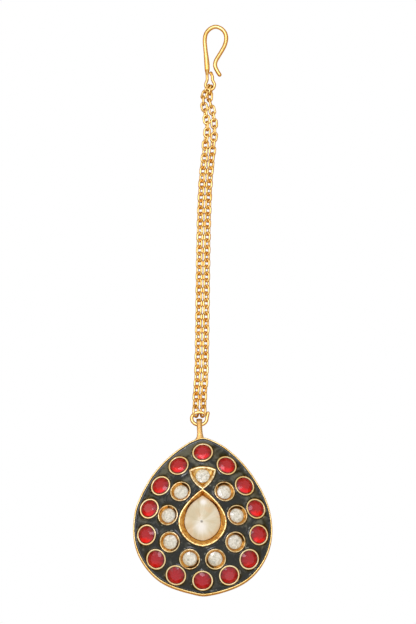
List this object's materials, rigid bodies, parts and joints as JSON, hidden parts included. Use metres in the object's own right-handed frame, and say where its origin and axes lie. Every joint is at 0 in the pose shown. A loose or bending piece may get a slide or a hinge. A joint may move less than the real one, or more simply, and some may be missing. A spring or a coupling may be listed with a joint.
{
  "type": "maang tikka",
  "caption": "Drop-shaped enamelled pendant set with cut stones, hung by a jump ring on two cable chains that end in the eye of a bent wire hair hook.",
  "frame": {"origin": "on the pendant's flat back, below the middle of its pear-shaped stone's round part", "axes": "+X to the wearer's left as the face is seen, +Y from the pendant along the chains to the hook, +Z out of the pendant's face"},
  "size_m": [0.0356, 0.1504, 0.0083],
  "materials": {
    "gold": "polished gold plate",
    "enamel": "glossy",
    "ruby": "polished, faceted",
    "white_stone": "foil-backed, faceted",
    "cream_stone": "foil-backed, faceted"
  },
  "bodies": {
    "root": {"setting": "gold", "enamel": "enamel", "ruby_01": "ruby", "ruby_02": "ruby", "ruby_03": "ruby", "ruby_04": "ruby", "ruby_05": "ruby", "ruby_06": "ruby", "ruby_07": "ruby", "ruby_08": "ruby", "ruby_09": "ruby", "ruby_10": "ruby", "ruby_11": "ruby", "ruby_12": "ruby", "ruby_13": "ruby", "ruby_14": "ruby", "polki_01": "white_stone", "polki_02": "white_stone", "polki_03": "white_stone", "polki_04": "white_stone", "polki_05": "white_stone", "polki_06": "white_stone", "polki_07": "white_stone", "polki_08": "white_stone", "polki_top": "white_stone", "polki_centre": "cream_stone", "jump_ring": "gold", "chain_left": "gold", "chain_right": "gold", "hook": "gold"}
  },
  "joints": []
}
